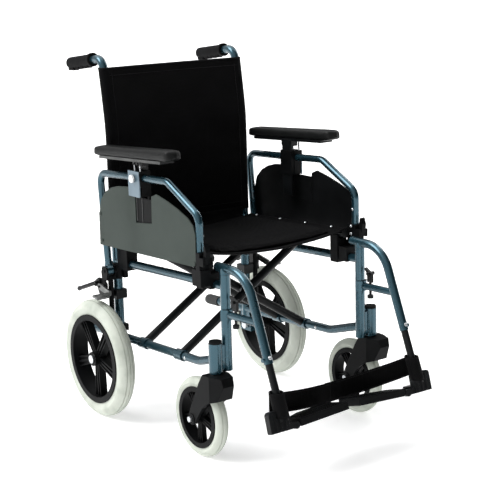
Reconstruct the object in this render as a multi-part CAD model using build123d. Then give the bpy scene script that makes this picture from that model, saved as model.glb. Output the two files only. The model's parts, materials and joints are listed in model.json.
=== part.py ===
"""Folding attendant wheelchair.

Millimetres. X is across the chair, +X to the occupant's left. The chair faces -Y. Z is up, and the
wheels stand on Z = 0. The origin is on the floor at the middle of the chair's length and width.
Paired pieces are made on the left side (+X) and mirrored to the right.
"""
from build123d import *
from math import atan, atan2, cos, degrees, pi, radians, sin, sqrt, tan
import os

os.makedirs("parts", exist_ok=True)

# ---------------------------------------------------------------- driving dimensions

SIDE_X = 210            # side frame plane, from the chair's middle
RAKE = 2.75             # rails fall this many degrees towards the back
FRONT_Y = -240          # front upright
REAR_Y = 259            # rear upright
RAIL_R = 11             # rails, cross tubes, seat tubes, canes
UPRIGHT_R = 12.5

LOW_RAIL_Z = 214.2      # lower rail's axis at Y = 0
HIGH_RAIL_Z = 421       # upper rail's axis at Y = 0
SEAT_TUBE_Z = 481       # seat tube's axis at Y = 0
KINK_Y = -120           # where the lower rail turns up to the front upright
LOW_FRONT_Z = 256       # lower rail's axis at the front upright
TAIL_END_Y = 447        # rear end of the lower rail, the tipping lever

WHEEL_R = 157.5         # 12.5 inch rear wheel
WHEEL_X = 283.6
WHEEL_Y = 248
TYRE_HALF = 24
CASTER_R = 100          # 8 inch caster wheel
CASTER_X = 246
STEM_X = 244
TRAIL = 65
CASTER_TYRE_HALF = 17
CASTER_Y = FRONT_Y + TRAIL

CANE_BEND_Z = 770       # the back leans from here up
CANE_TOP = (285, 943)   # corner between the cane and the push handle, (Y, Z)
HANDLE_END = (450, 922.9)
GRIP_START_Y = 333
GRIP_END_Y = 457.5

ARM_X = 242             # armrest tube plane
ARM_R = 9.5
ARM_FRONT_Y = -187
ARM_FOOT_Z = 492
ARM_PIVOT = (249, 389)  # (Y, Z)
ARM_CORNERS = [(ARM_FRONT_Y, 596), (-54, 664), (270, 649)]
POST_Y = 76             # middle of the armrest's height post
LATCH_PIVOT = (-212, 492)
STAY_X, STAY_Y = 238, 250    # upright stay beside the rear upright

HANGER_CORNER = (-326, 477)
HANGER_LEAN = 22        # the hanger's straight leg, from the vertical
FOOT_TILT = 16          # the footplates' fronts are raised by this
FOOT_FRONT = (-463.5, 134.5)
FOOT_HINGE_X = 174
FOOT_INNER_X = 17
FOOT_RISE = 3.0         # the plates' inner ends are raised by this

EPS = 0.05              # play between a piece and the bore that it sits in

# ---------------------------------------------------------------- helpers

RAKE_SLOPE = tan(radians(RAKE))


def rail_z(z_at_zero, y):
    """Height at Y of a line that runs parallel to the rails."""
    return z_at_zero - y * RAKE_SLOPE


def rod(start, end, radius):
    """A round bar from start to end."""
    axis = Vector(*end) - Vector(*start)
    low = (Align.CENTER, Align.CENTER, Align.MIN)
    return Plane(origin=start, z_dir=axis) * Cylinder(radius, axis.length, align=low)


def block(low, high):
    """A box between two corners."""
    size = [b - a for a, b in zip(low, high)]
    return Pos(*low) * Box(*size, align=(Align.MIN, Align.MIN, Align.MIN))


def bent_bar(points, radii, radius):
    """A round bar along straight runs joined by arcs. Radii are those of the inner points."""
    path = FilletPolyline(*points, radius=radii)
    return sweep(Plane(origin=path @ 0, z_dir=path % 0) * Circle(radius), path=path)


def side_points(x, points):
    """(Y, Z) points placed in the plane at X."""
    return [(x, y, z) for y, z in points]


def side_plate(x_from, x_to, outline):
    """A plate between two X planes, with its outline in (Y, Z)."""
    face = Plane.YZ.offset(x_from) * make_face(Polyline(*outline, close=True))
    return extrude(face, amount=x_to - x_from)


def end_plate(y_from, y_to, outline):
    """A plate between two Y planes, with its outline in (X, Z)."""
    face = Plane.XZ.offset(-y_to) * make_face(Polyline(*outline, close=True))
    return extrude(face, amount=y_to - y_from)


def turned(profile, x, y, z):
    """A ring turned about an axle along X. The profile is (X from the middle, radius)."""
    face = make_face(Polyline(*profile, close=True))
    return Pos(x, y, z) * revolve(face, axis=Axis.X)


def hex_bar(start_x, end_x, y, z, across):
    """A hexagon bar along X."""
    face = Plane(origin=(start_x, y, z), z_dir=(1, 0, 0)) * RegularPolygon(across / sqrt(3), 6)
    return extrude(face, amount=end_x - start_x)


def save(name, *pieces):
    """Writes one node. Several pieces stay separate solids."""
    shape = pieces[0] if len(pieces) == 1 else Compound(children=[Part(p.wrapped) for p in pieces])
    export_step(shape, f"parts/{name}.step")


def save_pair(name, *pieces):
    """Writes the left node and its mirror image on the right."""
    save(f"{name}_left", *pieces)
    save(f"{name}_right", *[mirror(p, about=Plane.YZ) for p in pieces])


# ---------------------------------------------------------------- side frame and back


def side_frame():
    """Two rails, two uprights, the caster housing and the rear axle plate, welded."""
    x = SIDE_X
    rear_up = rod((x, REAR_Y, 150), (x, REAR_Y, 505), UPRIGHT_R)
    front_up = rod((x, FRONT_Y, 226.5), (x, FRONT_Y, 462), UPRIGHT_R)
    upper = rod((x, FRONT_Y, rail_z(HIGH_RAIL_Z, FRONT_Y)), (x, REAR_Y, rail_z(HIGH_RAIL_Z, REAR_Y)), RAIL_R)
    route = [
        (FRONT_Y, LOW_FRONT_Z),
        (KINK_Y, rail_z(LOW_RAIL_Z, KINK_Y)),
        (TAIL_END_Y, rail_z(LOW_RAIL_Z, TAIL_END_Y)),
    ]
    lower = bent_bar(side_points(x, route), 90, RAIL_R)
    housing = rod((STEM_X, FRONT_Y, 226), (STEM_X, FRONT_Y, 299), 16.5)
    web = block((x + 6, FRONT_Y - 6, 233), (STEM_X - 6, FRONT_Y + 6, 292))
    axle_plate = side_plate(x - 8, x + 14, [
        (WHEEL_Y - 18, 140), (REAR_Y + 17, 140), (REAR_Y + 17, 210), (REAR_Y - 17, 210), (WHEEL_Y - 18, 178),
    ])
    gusset = side_plate(x - 4, x + 4, [(REAR_Y - 10, 395), (REAR_Y - 10, 372), (REAR_Y - 27, 396)])
    frame = rear_up + front_up + upper + lower + housing + web + axle_plate + gusset
    frame -= rod((x, REAR_Y, 385), (x, REAR_Y, 510), RAIL_R + EPS)
    frame -= rod((x, FRONT_Y, 424), (x, FRONT_Y, 470), 8 + EPS)
    frame -= rod((STEM_X, FRONT_Y, 220), (STEM_X, FRONT_Y, 305), 8 + EPS)
    frame -= rod((x - 20, WHEEL_Y, WHEEL_R), (x + 30, WHEEL_Y, WHEEL_R), 6 + EPS)
    return frame


def back_cane():
    """Back tube that leans at mid height and bends back into the push handle."""
    points = [(REAR_Y, 385), (REAR_Y, CANE_BEND_Z), CANE_TOP, HANDLE_END]
    return bent_bar(side_points(SIDE_X, points), [120, 30], RAIL_R)


def push_grip():
    """Moulded grip with finger notches below and a rounded end."""
    handle = Vector(0, HANDLE_END[0] - CANE_TOP[0], HANDLE_END[1] - CANE_TOP[1]).normalized()

    def on_handle(y, drop=0):
        return (SIDE_X, y, CANE_TOP[1] + (y - CANE_TOP[0]) * handle.Z / handle.Y - drop)

    start = GRIP_START_Y
    body = rod(on_handle(start), on_handle(GRIP_END_Y - 1), 15.5)
    body = fillet(body.edges().sort_by(Axis.Y)[-1], 5)
    body += rod(on_handle(start), on_handle(start + 9), 18)
    heel_x, heel_y, heel_z = on_handle(GRIP_END_Y - 17, drop=13)
    body += block((heel_x - 9, heel_y - 13, heel_z - 7), (heel_x + 9, heel_y + 13, heel_z + 6))
    for n in range(3):
        x, y, z = on_handle(start + 27 + 25 * n, drop=11)
        body += rod((x - 8.5, y, z), (x + 8.5, y, z), 9)
    return body - rod(on_handle(start - 5), on_handle(HANDLE_END[0] + 0.4), RAIL_R + EPS)


def tipping_cap():
    """Ribbed rubber cap on the rear end of the lower rail."""
    start, end = TAIL_END_Y - 54, TAIL_END_Y + 3
    z_at = lambda y: rail_z(LOW_RAIL_Z, y)
    cap = rod((SIDE_X, start, z_at(start)), (SIDE_X, end, z_at(end)), 14)
    for n in range(9):
        y = start + 4 + 5.6 * n
        cap += rod((SIDE_X, y, z_at(y)), (SIDE_X, y + 2.6, z_at(y + 2.6)), 15)
    bore_start = start - 5
    return cap - rod((SIDE_X, bore_start, z_at(bore_start)), (SIDE_X, TAIL_END_Y, z_at(TAIL_END_Y)), RAIL_R + EPS)


# ---------------------------------------------------------------- wheels


def tyre(x, y, radius, half, inner, shoulder, grooves):
    """Solid tyre with a round crown and shallow grooves round it."""
    base = half - 5
    crown = ThreePointArc((-half, shoulder), (0, radius), (half, shoulder))
    walls = Polyline((half, shoulder), (base, inner), (-base, inner), (-half, shoulder))
    ring = revolve(make_face(crown + walls), axis=Axis.X)
    for offset, depth_radius in grooves:
        ring -= turned([
            (offset - 1, depth_radius), (offset + 1, depth_radius), (offset + 1, radius + 1), (offset - 1, radius + 1),
        ], 0, 0, 0)
    return Pos(x, y, radius) * ring


def spoked_rim(x, y, z, bed, lip, half, rim_inner, hub, hub_in, hub_out, spoke, bore):
    """Moulded rim: bed and lips, five tapered spokes with a rib, and a hub."""
    side = half + 2.6
    ring = turned([
        (-side, rim_inner), (side, rim_inner), (side, lip), (half, lip),
        (half, bed), (-half, bed), (-half, lip), (-side, lip),
    ], 0, 0, 0)
    core = rod((-hub_in, 0, 0), (hub_out, 0, 0), hub)
    wheel = ring + core
    depth = half * 0.5
    for n in range(5):
        outline = [(-spoke * 0.5, hub - 4), (spoke * 0.5, hub - 4), (spoke * 0.72, rim_inner + 2), (-spoke * 0.72, rim_inner + 2)]
        web = side_plate(-depth * 0.45, depth * 0.45, outline)
        rib = side_plate(-depth, depth, [(-2.5, hub - 4), (2.5, hub - 4), (2.5, rim_inner + 2), (-2.5, rim_inner + 2)])
        edges = [
            side_plate(-depth, depth, [
                (s * spoke * 0.5, hub - 4), (s * (spoke * 0.5 - 3.5), hub - 4),
                (s * (spoke * 0.72 - 3.5), rim_inner + 2), (s * spoke * 0.72, rim_inner + 2),
            ])
            for s in (-1, 1)
        ]
        wheel += Rot(180 + 72 * n, 0, 0) * (web + rib + edges[0] + edges[1])
    wheel -= rod((-hub_in - 5, 0, 0), (hub_out + 5, 0, 0), bore)
    return Pos(x, y, z) * wheel


def rear_axle():
    """Axle bolt with its spacer and two nuts."""
    bolt = rod((SIDE_X - 14, WHEEL_Y, WHEEL_R), (WHEEL_X + 24.3, WHEEL_Y, WHEEL_R), 6)
    head = hex_bar(SIDE_X - 19, SIDE_X - 12.7, WHEEL_Y, WHEEL_R, 19)
    cap = rod((WHEEL_X + 24.3, WHEEL_Y, WHEEL_R), (WHEEL_X + 28, WHEEL_Y, WHEEL_R), 11)
    spacer = rod((SIDE_X + 14.3, WHEEL_Y, WHEEL_R), (WHEEL_X - 34.5, WHEEL_Y, WHEEL_R), 11)
    return bolt + head + cap + spacer


def caster_fork():
    """Moulded fork that trails behind its stem."""
    half_in, half_out = CASTER_TYRE_HALF + 4.5, CASTER_TYRE_HALF + 12.5
    centre = (CASTER_Y, CASTER_R)
    outline = [
        (-288, 224), (-294, 204), (-276, 166), (-246, 156), (-222, 138), (-202, 112), (-188, 90), (-176, 84), (-164, 88),
        (-160, 102), (-170, 124), (-190, 162), (-208, 196), (-226, 224),
    ]
    fork = side_plate(CASTER_X - half_out, CASTER_X + half_out, outline)
    plan = [(-half_out, -140), (-half_out, -254), (-15, -295), (15, -295), (half_out, -254), (half_out, -140)]
    fork &= Pos(CASTER_X, 0, 50) * extrude(make_face(Polyline(*plan, close=True)), amount=200)
    slot = rod((CASTER_X - half_in, *centre), (CASTER_X + half_in, *centre), CASTER_R + 6)
    low = block((CASTER_X - half_in, CASTER_Y - 60, 60), (CASTER_X + half_in, CASTER_Y + 40, CASTER_R))
    fork = fork - slot - low
    fork -= rod((STEM_X, FRONT_Y, 150), (STEM_X, FRONT_Y, 230), 8 + EPS)
    fork -= rod((CASTER_X - 40, *centre), (CASTER_X + 40, *centre), 4 + EPS)
    for side in (-1, 1):
        x0 = CASTER_X + side * half_out
        fork += rod((x0, *centre), (x0 + side * 2, *centre), 13) - rod((x0, *centre), (x0 + side * 2, *centre), 4 + EPS)
    return fork


def caster_stem():
    """Swivel stem with its cap, and the caster's axle bolt."""
    stem = rod((STEM_X, FRONT_Y, 196), (STEM_X, FRONT_Y, 299.4), 8)
    cap = rod((STEM_X, FRONT_Y, 299.4), (STEM_X, FRONT_Y, 305), 15.5)
    centre = (CASTER_Y, CASTER_R)
    reach = CASTER_TYRE_HALF + 15
    axle = rod((CASTER_X - reach, *centre), (CASTER_X + reach, *centre), 4)
    nuts = [hex_bar(CASTER_X + s * reach, CASTER_X + s * (reach + 6), *centre, 13) for s in (-1, 1)]
    return stem + cap, axle + nuts[0] + nuts[1]


# ---------------------------------------------------------------- brake

BRAKE_PIVOT = (286, 353)
SHOE_PIVOT = (268, 345)


def brake_bracket():
    """Clamp on the rear upright with the plate that carries the lever and the shoe."""
    clamp = block((SIDE_X - 16, REAR_Y - 17, 308), (SIDE_X + 16, REAR_Y + 19, 333))
    clamp -= rod((SIDE_X, REAR_Y, 300), (SIDE_X, REAR_Y, 340), UPRIGHT_R + EPS)
    arm = block((SIDE_X + 14, REAR_Y + 2, 313), (SIDE_X + 42, REAR_Y + 18, 329))
    plate = side_plate(SIDE_X + 37, SIDE_X + 42, [
        (250, 314), (286, 314), (300, 338), (300, 358), (292, 363.5), (262, 363.5), (250, 352),
    ])
    pins = [rod((SIDE_X + 42, *p), (SIDE_X + 57, *p), 3.5) for p in (BRAKE_PIVOT, SHOE_PIVOT)]
    return clamp + arm + plate + pins[0] + pins[1]


def brake_lever():
    """Hand lever that reaches back from its pivot."""
    y, z = BRAKE_PIVOT
    tip = (372, 321)
    lever = rod((SIDE_X + 42.6, y, z), (SIDE_X + 47.6, y, z), 10)
    lever += side_plate(SIDE_X + 42.6, SIDE_X + 47.6, [(y - 2, z + 10), (y + 20, z - 1), (y + 16, z - 15), (y - 6, z - 9)])
    lever += rod((SIDE_X + 49, y + 10, z - 4), (SIDE_X + 56, tip[0], tip[1]), 5.5)
    lever += Pos(SIDE_X + 56, *tip) * Sphere(6.5)
    return lever - rod((SIDE_X + 40, y, z), (SIDE_X + 50, y, z), 3.5 + EPS)


def brake_shoe():
    """Steel shoe that swings down on to the tyre's tread."""
    y, z = SHOE_PIVOT
    x0, x1 = SIDE_X + 48.4, SIDE_X + 54.4
    arm = side_plate(x0, x1, [(y + 7, z - 6), (y + 4, z + 8), (y - 8, z + 7), (215, 343), (213, 331), (236, 331)])
    pad = turned([(-18, 171), (19, 171), (19, 176.5), (-18, 176.5)], WHEEL_X, WHEEL_Y, WHEEL_R)
    wedge = side_plate(x0 - 10, x1 + 60, [(212, 320), (238, 320), (238, 345), (212, 345)])
    shoe = arm + (pad & wedge) + block((x0, 216, 329), (WHEEL_X - 10, 234, 334))
    return shoe - rod((x0 - 2, y, z), (x1 + 2, y, z), 3.5 + EPS)


# ---------------------------------------------------------------- fittings on the side frame


def armrest_mounts():
    """Rear clevis with its stay on the upright and front socket on the upper rail, both for the armrest."""
    y, z = ARM_PIVOT
    clamp = block((SIDE_X - 16, REAR_Y - 27, 366), (SIDE_X + 16, REAR_Y + 22, 405))
    cheeks = [
        side_plate(a, b, [(y - 12, z - 20), (y + 14, z - 20), (y + 16, z - 4), (y + 10, z + 12), (y - 10, z + 12), (y - 16, z)])
        for a, b in ((ARM_X - 16, ARM_X - 10.5), (ARM_X + 10.5, ARM_X + 15))
    ]
    floor = block((SIDE_X + 14, y - 12, z - 24), (ARM_X + 15, y + 14, z - 15))
    rear = clamp + floor + cheeks[0] + cheeks[1]
    rear += rod((ARM_X - 14, y, z), (ARM_X + 17, y, z), 4)
    rear += rod((STAY_X, STAY_Y, 222), (STAY_X, STAY_Y, z - 18), 7)
    rear += block((SIDE_X - 16, REAR_Y - 18, 218), (STAY_X + 7.5, REAR_Y + 17, 236))
    rear -= rod((SIDE_X, REAR_Y, 200), (SIDE_X, REAR_Y, 250), UPRIGHT_R + EPS)
    rear -= rod((SIDE_X, REAR_Y, 300), (SIDE_X, REAR_Y, 460), UPRIGHT_R + EPS)
    rail_start = (SIDE_X, FRONT_Y, rail_z(HIGH_RAIL_Z, FRONT_Y))
    rail_end = (SIDE_X, REAR_Y, rail_z(HIGH_RAIL_Z, REAR_Y))
    rear -= rod(rail_start, rail_end, RAIL_R + EPS)
    rear -= side_plate(SIDE_X - 4.1, SIDE_X + 4.1, [(REAR_Y - 8, 406), (REAR_Y - 8, 366), (REAR_Y - 34, 366), (REAR_Y - 34, 406)])

    front = block((SIDE_X - 15, -206, 421), (SIDE_X + 18, -175, 458))
    front += block((SIDE_X + 16, -206, 430), (ARM_X + 14, -170, 470))
    front += block((ARM_X - 14, -203, 465), (ARM_X + 14, -170, ARM_FOOT_Z - 1))
    cup = block((ARM_X - 14, -203, ARM_FOOT_Z - 6), (ARM_X + 14, -170, 512))
    cup -= block((ARM_X - 10.3, -198, ARM_FOOT_Z - 0.6), (ARM_X + 10.3, -160, 520))
    lugs = block((ARM_X - 14, -218, 482), (ARM_X - 7, -200, 502)) + block((ARM_X + 7, -218, 482), (ARM_X + 14, -200, 502))
    front = front + cup + lugs + rod((ARM_X - 12, *LATCH_PIVOT), (ARM_X + 12, *LATCH_PIVOT), 2.5)
    front -= block((ARM_X + ARM_R - 0.1, -188, 470.5), (ARM_X + 20, -160, 520))
    front -= rod(rail_start, rail_end, RAIL_R + EPS)
    return rear, front


def seat_saddles():
    """Two cradles clamped on the upper rail, where the seat tube comes down to rest."""
    saddles = []
    rail = rod((SIDE_X, FRONT_Y, rail_z(HIGH_RAIL_Z, FRONT_Y)), (SIDE_X, REAR_Y, rail_z(HIGH_RAIL_Z, REAR_Y)), RAIL_R + EPS)
    for y0, y1 in ((-170, -142), (181, 229)):
        mid = (y0 + y1) / 2
        z_rail, z_tube = rail_z(HIGH_RAIL_Z, mid), rail_z(SEAT_TUBE_Z, mid)
        body = block((SIDE_X - 16, y0, z_rail - 15), (SIDE_X + 16, y1, z_tube - 3))
        trough = end_plate(y0 - 5, y1 + 5, [
            (SIDE_X - 13.5, z_tube), (SIDE_X + 13.5, z_tube), (SIDE_X + 12.5, z_tube - 8),
            (SIDE_X + 5, z_tube - 14.5), (SIDE_X - 5, z_tube - 14.5), (SIDE_X - 12.5, z_tube - 8),
        ])
        saddles.append(body - trough - rail)
    return saddles


# ---------------------------------------------------------------- cross brace and seat

HALF_SPAN = SIDE_X
UP = Vector(0, sin(radians(RAKE)), cos(radians(RAKE)))
SEAT_TUBE_ENDS = (-184, 232)
SLEEVES_A = (-37, 135)   # Y of the first member's tubes
SLEEVES_B = (-7, 105)    # Y of the second member's tubes


def cross_member(side, tubes):
    """Hinge sleeves on one lower rail, two tubes, and the seat tube above the other rail."""
    low_x, high_x = -side * SIDE_X, side * SIDE_X
    member = rod(
        (high_x, SEAT_TUBE_ENDS[0], rail_z(SEAT_TUBE_Z, SEAT_TUBE_ENDS[0])),
        (high_x, SEAT_TUBE_ENDS[1], rail_z(SEAT_TUBE_Z, SEAT_TUBE_ENDS[1])),
        RAIL_R,
    )
    for y in tubes:
        low = (low_x, y, rail_z(LOW_RAIL_Z, y))
        high = (high_x, y, rail_z(SEAT_TUBE_Z, y))
        member += rod(low, high, RAIL_R)
        member += rod((low_x, y - 16, rail_z(LOW_RAIL_Z, y - 16)), (low_x, y + 16, rail_z(LOW_RAIL_Z, y + 16)), 14.5)
    for y in tubes:
        start, end = (low_x, y - 40, rail_z(LOW_RAIL_Z, y - 40)), (low_x, y + 40, rail_z(LOW_RAIL_Z, y + 40))
        member -= rod(start, end, RAIL_R + EPS)
    centre_z = (LOW_RAIL_Z + SEAT_TUBE_Z) / 2
    start, end = (0, -80, rail_z(centre_z, -80)), (0, 180, rail_z(centre_z, 180))
    return member - rod(start, end, 4 + EPS)


def pivot_bolts():
    """Two bolts through the members' middles, each with a washer between the tubes."""
    centre_z = (LOW_RAIL_Z + SEAT_TUBE_Z) / 2
    bolts = []
    for a, b in ((SLEEVES_A[0], SLEEVES_B[0]), (SLEEVES_A[1], SLEEVES_B[1])):
        out = 1 if b > a else -1
        y0, y1 = a - out * 17, b + out * 17
        at = lambda y: (0, y, rail_z(centre_z, y))
        bolt = rod(at(y0), at(y1), 4)
        bolt += rod(at(y0), at(a - out * 11.4), 7.5) + rod(at(b + out * 11.4), at(y1), 7.5)
        bolt += rod(at(a + out * 11.4), at(b - out * 11.4), 9)
        bolts.append(bolt)
    return bolts


def seat_sling():
    """Padded seat between the two seat tubes."""
    edge = SIDE_X - RAIL_R - 0.6
    y0, y1 = SEAT_TUBE_ENDS[0] + 2, SEAT_TUBE_ENDS[1] - 2
    z0 = rail_z(SEAT_TUBE_Z, y0)
    top = ThreePointArc((-edge, z0 + 12), (0, z0 - 7), (edge, z0 + 12))
    bottom = ThreePointArc((edge, z0 + 7), (0, z0 - 20), (-edge, z0 + 7))
    sides = Line((edge, z0 + 12), (edge, z0 + 7)) + Line((-edge, z0 + 7), (-edge, z0 + 12))
    face = make_face(top + bottom + sides)
    along = Vector(0, cos(radians(RAKE)), -sin(radians(RAKE)))
    return extrude(Pos(0, y0, 0) * Rot(90, 0, 0) * face, amount=(y1 - y0) / cos(radians(RAKE)), dir=along)


def back_sling():
    """Back upholstery between the canes, from the seat to the canes' tops."""
    edge = SIDE_X - RAIL_R - 0.6
    lean = (CANE_TOP[0] - REAR_Y) / (CANE_TOP[1] - CANE_BEND_Z)
    top_z, low_z = 917, 505
    top_y = REAR_Y + (top_z - CANE_BEND_Z) * lean
    outline = [
        (REAR_Y - 5, low_z), (REAR_Y - 5, CANE_BEND_Z), (top_y - 5, top_z),
        (top_y + 5, top_z), (REAR_Y + 5, CANE_BEND_Z), (REAR_Y + 5, low_z),
    ]
    return side_plate(-edge, edge, outline)


# ---------------------------------------------------------------- armrest


def arm_tube_z(y):
    """Height of the armrest tube's level run."""
    (y0, z0), (y1, z1) = ARM_CORNERS[1], ARM_CORNERS[2]
    return z0 + (y - y0) * (z1 - z0) / (y1 - y0)


def armrest_tube():
    """Bent tube from the front socket over the top and down to the rear pivot."""
    points = [(ARM_FRONT_Y, ARM_FOOT_Z), *ARM_CORNERS, (ARM_PIVOT[0] + 1, ARM_PIVOT[1] + 14)]
    tube = bent_bar(side_points(ARM_X, points), [34, 40, 28], ARM_R)
    y, z = ARM_PIVOT
    tube += rod((ARM_X - 9.5, y, z), (ARM_X + 9.5, y, z), 11.5)
    tube += block((ARM_X - 8, y - 8, z), (ARM_X + 8, y + 9, z + 18))
    tube -= rod((ARM_X - 20, y, z), (ARM_X + 20, y, z), 4 + EPS)
    button_z = arm_tube_z(POST_Y)
    return tube - rod((ARM_X - 20, POST_Y, button_z), (ARM_X + 20, POST_Y, button_z), 5)


def side_panel():
    """Clothing guard on the outside of the armrest tube, notched for the height post."""
    x0, x1 = ARM_X + ARM_R, ARM_X + ARM_R + 3
    outline = [
        (266, 459), (264, 540), (250, 582), (224, 606), (194, 620), (165, 627), (116, 632), (79, 633),
        (79, 545), (4, 553), (2, 621), (-20, 630), (-66, 620), (-114, 606), (-156, 590), (-178, 574), (-186, 555),
        (-186, 486), (-176, 475),
    ]
    panel = side_plate(x0, x1, outline)
    screws = [(256.5, 543), (253, 472), (ARM_FRONT_Y + 6, 484)]
    for y, z in screws:
        panel += rod((x1 - 1, y, z), (x1 + 2, y, z), 4.5)
    return panel


def height_clamp():
    """Block clamped on the armrest tube that the pad's post slides in, with an outer plate."""
    z_mid = arm_tube_z(POST_Y)
    low, high = 612, 677
    body = block((232.3, POST_Y - 26, low), (ARM_X + ARM_R - 0.1, POST_Y + 26, high))
    guide = block((222.8, POST_Y - 24, low), (232.4, POST_Y + 24, high))
    guide -= block((225.2, POST_Y - 19.5, low - 5), (231.9, POST_Y + 19.5, high + 5))
    cap = block((ARM_X + ARM_R - 0.2, POST_Y - 26, 637), (256, POST_Y + 26, high))
    plate = block((255.4, POST_Y - 26, low), (258.4, POST_Y + 26, high))
    clamp = body + guide + cap + plate
    ends = [(ARM_X, y, arm_tube_z(y)) for y in (POST_Y - 40, POST_Y + 40)]
    clamp -= rod(*ends, ARM_R + EPS)
    return clamp - rod((228, POST_Y, z_mid), (262, POST_Y, z_mid), 5)


def height_button():
    """Round push button whose pin runs through the clamp and the tube."""
    z = arm_tube_z(POST_Y)
    head = rod((261.8, POST_Y, z), (266.5, POST_Y, z), 10)
    return head + rod((236, POST_Y, z), (262.5, POST_Y, z), 4.6)


PAD_SLOPE = tan(radians(3))
PAD_X = 248


def pad_line(y, height):
    """Height of the pad's underside at Y, plus a height above it."""
    return 698 - (y - POST_Y) * PAD_SLOPE + height


def pad_post():
    """Pad's base plate with its flat post."""
    x0, x1 = PAD_X - 20, PAD_X + 20
    base = side_plate(x0, x1, [(-66, pad_line(-66, 4.5)), (226, pad_line(226, 4.5)), (226, pad_line(226, 11.5)), (-66, pad_line(-66, 11.5))])
    post = block((225.6, POST_Y - 19, 556), (231.5, POST_Y + 19, 706))
    neck = block((225.6, POST_Y - 22, 690), (246, POST_Y + 22, 705))
    return base + post + neck


def armrest_pad():
    """Foam pad with a nose that overhangs its base."""
    low, high = 11.8, 37
    outline = [
        (-112, pad_line(-112, low)), (256, pad_line(256, low)), (260, pad_line(260, 17)), (257, pad_line(257, 30)),
        (249, pad_line(249, high - 2)), (-93, pad_line(-93, high)), (-103, pad_line(-103, 32)),
    ]
    pad = side_plate(PAD_X - 24, PAD_X + 24, outline)
    return fillet(pad.edges().filter_by(Axis.Z, reverse=True).group_by(Axis.Z)[-1], 5)


def armrest_latch():
    """Lever that locks the armrest's foot in its socket."""
    lever = side_plate(ARM_X - 6.5, ARM_X + 6.5, [(-217, 486), (-207, 486), (-207, 500), (-211, 530), (-215, 532), (-221, 516)])
    return lever - rod((ARM_X - 10, *LATCH_PIVOT), (ARM_X + 10, *LATCH_PIVOT), 2.5 + EPS)


# ---------------------------------------------------------------- footrest


def hanger_y(z):
    """Y of the hanger's straight leg at height Z."""
    return HANGER_CORNER[0] + (z - HANGER_CORNER[1]) * tan(radians(HANGER_LEAN))


LATCH_Y = FRONT_Y - 40
LINK_Z = 367


def hanger():
    """Swing-away tube with its pivot pin, lower link and half collar round the upright."""
    x = SIDE_X
    low_z = 280
    tube = bent_bar(side_points(x, [(FRONT_Y + 30, 476), HANGER_CORNER, (hanger_y(low_z), low_z)]), 85, RAIL_R)
    pin = rod((x, FRONT_Y, 430), (x, FRONT_Y, 476), 8)
    shoulder = rod((x, FRONT_Y, 462.6), (x, FRONT_Y, 476), 12.5)
    link = rod((x, FRONT_Y - 15, LINK_Z - 2), (x, hanger_y(LINK_Z + 2), LINK_Z + 2), 9)
    collar = rod((x, FRONT_Y, LINK_Z - 15), (x, FRONT_Y, LINK_Z + 11), 17.5)
    collar -= block((x - 20, FRONT_Y - 2, LINK_Z - 20), (x + 20, FRONT_Y + 20, LINK_Z + 20))
    piece = tube + pin + shoulder + link + collar
    piece -= rod((x, FRONT_Y, LINK_Z - 30), (x, FRONT_Y, LINK_Z + 30), UPRIGHT_R + 0.4)
    piece -= rod((x, LATCH_Y, LINK_Z - 20), (x, LATCH_Y, LINK_Z + 20), 3.5 + EPS)
    piece -= rod((x, hanger_y(270), 270), (x, hanger_y(400), 400), 9.1)
    bolt = rod((x + 8, hanger_y(290), 290), (x + 16, hanger_y(290), 290), 5)
    return piece + (bolt - rod((x, hanger_y(270), 270), (x, hanger_y(400), 400), 9.1))


def hanger_latch():
    """Release lever on a vertical pin through the link."""
    x = SIDE_X
    pin = rod((x, LATCH_Y, 340), (x, LATCH_Y, 402), 3.5)
    foot = rod((x, LATCH_Y, 338), (x, LATCH_Y, 346), 8)
    lever = side_plate(x - 3.5, x + 3.5, [
        (LATCH_Y - 8, LINK_Z + 12), (LATCH_Y + 9, LINK_Z + 12), (LATCH_Y + 9, 400), (LATCH_Y + 20, 411), (LATCH_Y + 16, 415),
        (LATCH_Y + 4, 408), (LATCH_Y - 8, 404),
    ])
    bar = rod((x - 11, LATCH_Y, 402), (x + 11, LATCH_Y, 402), 4.5)
    return pin + foot + lever + bar


FOOT_FRAME = Pos(0, *FOOT_FRONT) * Rot(-FOOT_TILT, 0, 0)
HINGE_W = 6             # hinge axis above the bracket's underside


def extension_tube():
    """Telescopic leg tube with the cast footplate bracket on its end."""
    x = SIDE_X
    leg = rod((x, hanger_y(165), 165), (x, hanger_y(380), 380), 9)
    collar = rod((x, hanger_y(156), 156), (x, hanger_y(206), 206), 13)
    bracket = block((196, 0, 0), (249, 17, 50))
    bracket = fillet(bracket.edges().filter_by(Axis.Y).group_by(Axis.Z)[-1], 9)
    bracket += block((196, 10, 0), (218, 46, 18))
    for n in range(3):
        bracket += block((203 + 14 * n, -1.5, 4), (208 + 14 * n, 2, 44))
    ears = [
        rod((FOOT_HINGE_X, v, HINGE_W), (FOOT_HINGE_X, v + 10, HINGE_W), 9) + block((FOOT_HINGE_X, v, 0), (198, v + 10, 14))
        for v in (2, 34)
    ]
    pin = rod((FOOT_HINGE_X, 3, HINGE_W), (FOOT_HINGE_X, 43, HINGE_W), 4)
    cast = FOOT_FRAME * (bracket + ears[0] + ears[1] + pin)
    piece = leg + collar + cast
    return piece


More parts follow.
